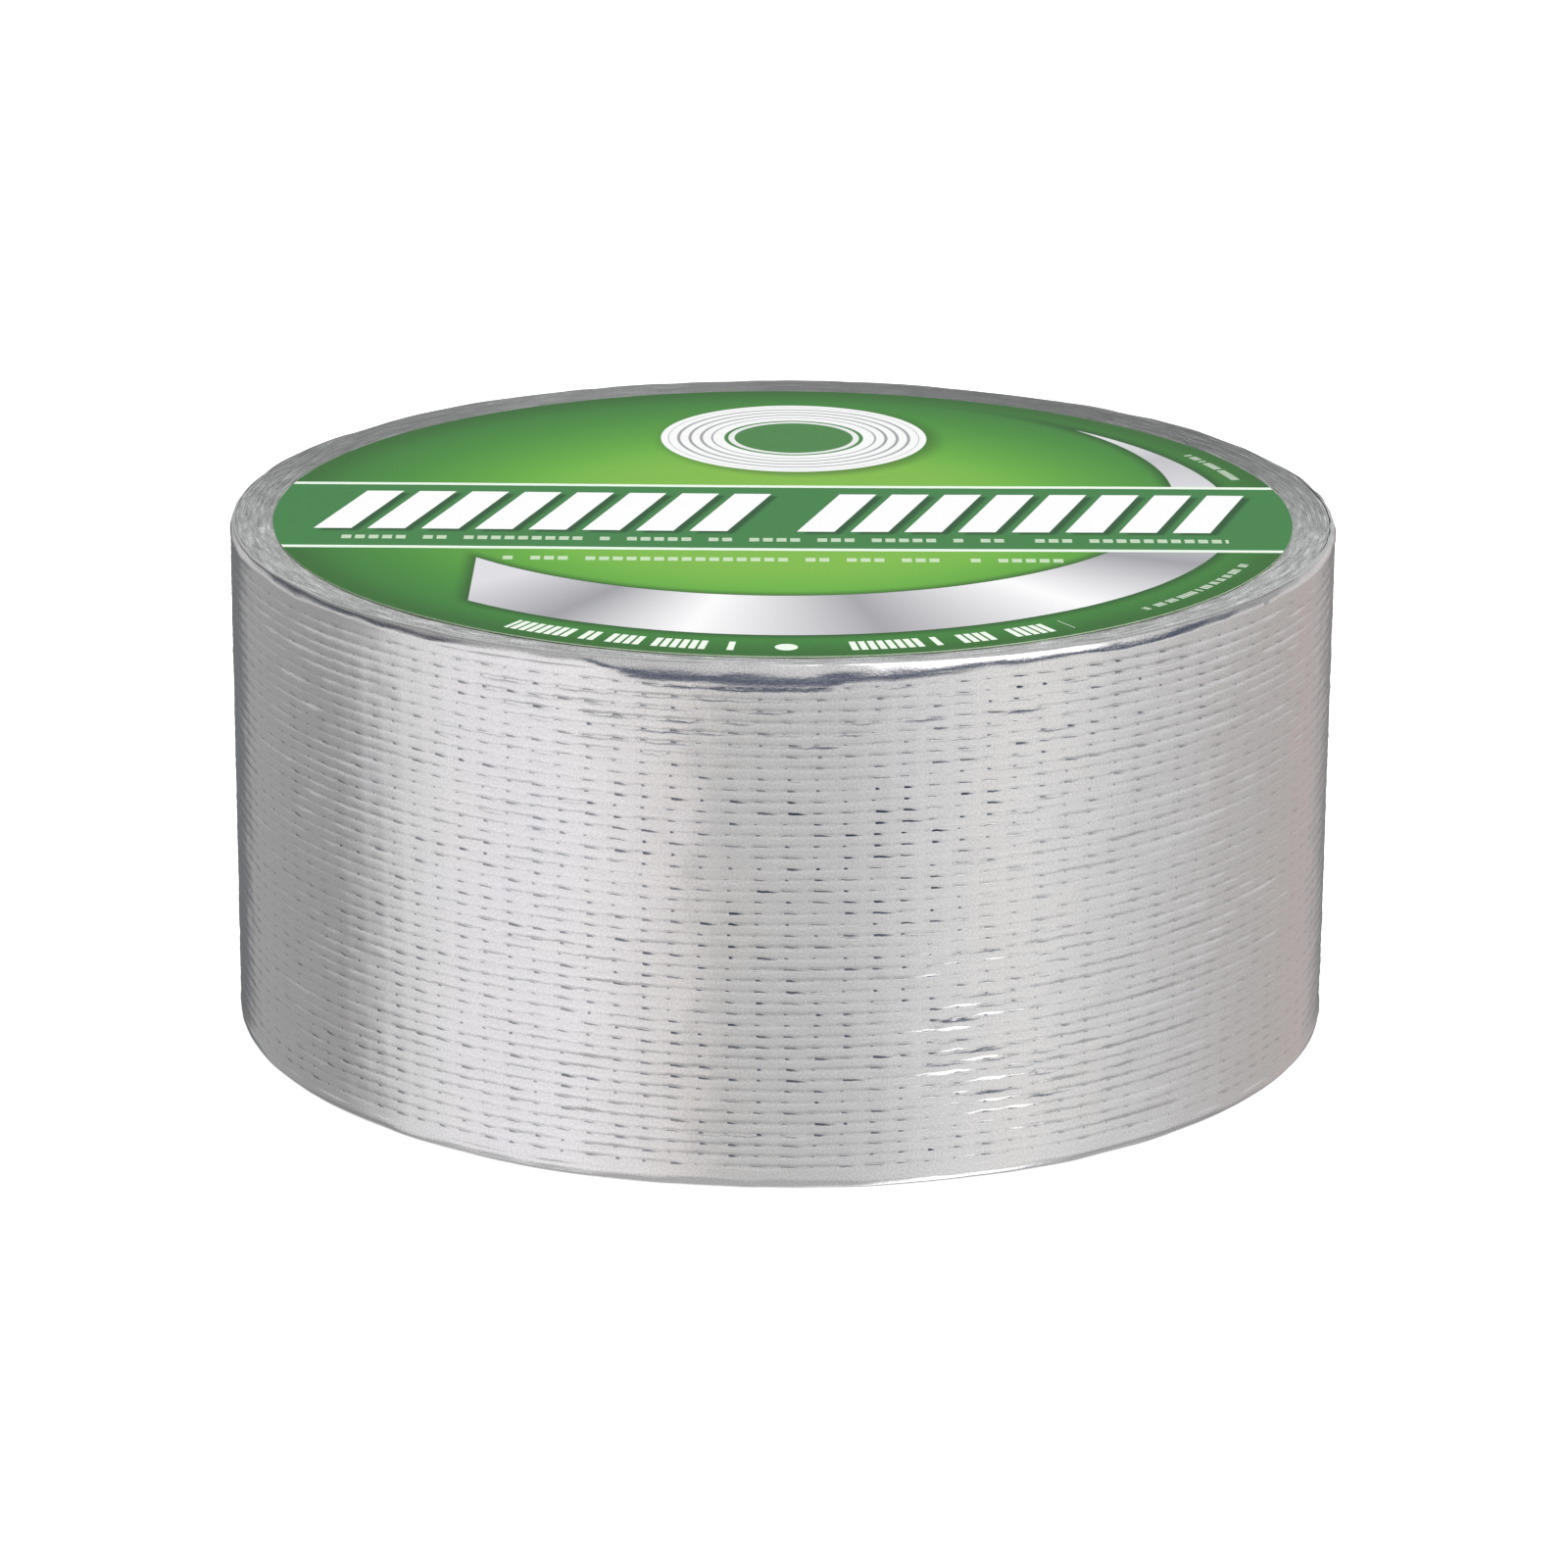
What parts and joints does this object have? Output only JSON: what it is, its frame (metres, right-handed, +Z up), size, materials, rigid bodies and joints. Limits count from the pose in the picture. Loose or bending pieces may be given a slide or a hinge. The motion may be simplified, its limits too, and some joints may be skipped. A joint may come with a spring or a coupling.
{
  "type": "duct tape roll",
  "caption": "Full roll of silver cloth-backed duct tape on a paperboard core, with a round label over one side and a free end that peels away.",
  "frame": {"origin": "centre of the side of the tape that the roll stands on, on the roll's axis", "axes": "+Z up along the axis of the roll, towards the label; the free end of the tape lies at +X"},
  "size_m": [0.1031, 0.1033, 0.0481],
  "materials": {
    "tape_film": "metallised silver film embossed by the cloth under it",
    "scrim_cloth": "open gauze of polyester yarns",
    "tape_adhesive": "tacky pale grey rubber",
    "wound_tape": "slit edges of the wound turns, fine rings",
    "core_board": "grey-brown paperboard, cut edge",
    "core_liner": "smooth kraft liner with a spiral seam",
    "label_paper": "coated paper printed green with white and silver shapes",
    "label_adhesive": "thin clear pressure-sensitive adhesive"
  },
  "bodies": {
    "roll": {"core_1_inner_liner": "core_liner", "core_2_board": "core_board", "core_3_board": "core_board", "core_4_board": "core_board", "core_5_board": "core_board", "core_6_outer_liner": "core_liner", "inner_turns": "wound_tape", "turn_film": "tape_film", "turn_scrim": "scrim_cloth", "turn_adhesive": "tape_adhesive"},
    "end_1": {"end_film_1": "tape_film", "end_scrim_1": "scrim_cloth", "end_adhesive_1": "tape_adhesive"},
    "end_2": {"end_film_2": "tape_film", "end_scrim_2": "scrim_cloth", "end_adhesive_2": "tape_adhesive"},
    "end_3": {"end_film_3": "tape_film", "end_scrim_3": "scrim_cloth", "end_adhesive_3": "tape_adhesive"},
    "end_4": {"end_film_4": "tape_film", "end_scrim_4": "scrim_cloth", "end_adhesive_4": "tape_adhesive"},
    "end_5": {"end_film_5": "tape_film", "end_scrim_5": "scrim_cloth", "end_adhesive_5": "tape_adhesive"},
    "end_6": {"end_film_6": "tape_film", "end_scrim_6": "scrim_cloth", "end_adhesive_6": "tape_adhesive"},
    "label": {"label_adhesive": "label_adhesive", "label_paper": "label_paper"}
  },
  "joints": [
    {"name": "peel_1", "type": "hinge", "parent": "roll", "child": "end_1", "pos_m": [0.02108, 0.04723, 0.024], "axis": [0, 0, 1], "range_deg": [0, 45]},
    {"name": "peel_2", "type": "hinge", "parent": "end_1", "child": "end_2", "pos_m": [0.02896, 0.04286, 0.024], "axis": [0, 0, 1], "range_deg": [0, 10]},
    {"name": "peel_3", "type": "hinge", "parent": "end_2", "child": "end_3", "pos_m": [0.03597, 0.03719, 0.024], "axis": [0, 0, 1], "range_deg": [0, 10]},
    {"name": "peel_4", "type": "hinge", "parent": "end_3", "child": "end_4", "pos_m": [0.04188, 0.03039, 0.024], "axis": [0, 0, 1], "range_deg": [0, 10]},
    {"name": "peel_5", "type": "hinge", "parent": "end_4", "child": "end_5", "pos_m": [0.04652, 0.02267, 0.024], "axis": [0, 0, 1], "range_deg": [0, 10]},
    {"name": "peel_6", "type": "hinge", "parent": "end_5", "child": "end_6", "pos_m": [0.04975, 0.01425, 0.024], "axis": [0, 0, 1], "range_deg": [0, 10]},
    {"name": "label_lift", "type": "slide", "parent": "roll", "child": "label", "axis": [0, 0, 1], "range_m": [0, 0.04]}
  ],
  "couplings": [
    {"joint": "peel_2", "follows": "peel_1", "ratio": 0.22222},
    {"joint": "peel_3", "follows": "peel_1", "ratio": 0.22222},
    {"joint": "peel_4", "follows": "peel_1", "ratio": 0.22222},
    {"joint": "peel_5", "follows": "peel_1", "ratio": 0.22222},
    {"joint": "peel_6", "follows": "peel_1", "ratio": 0.22222}
  ]
}
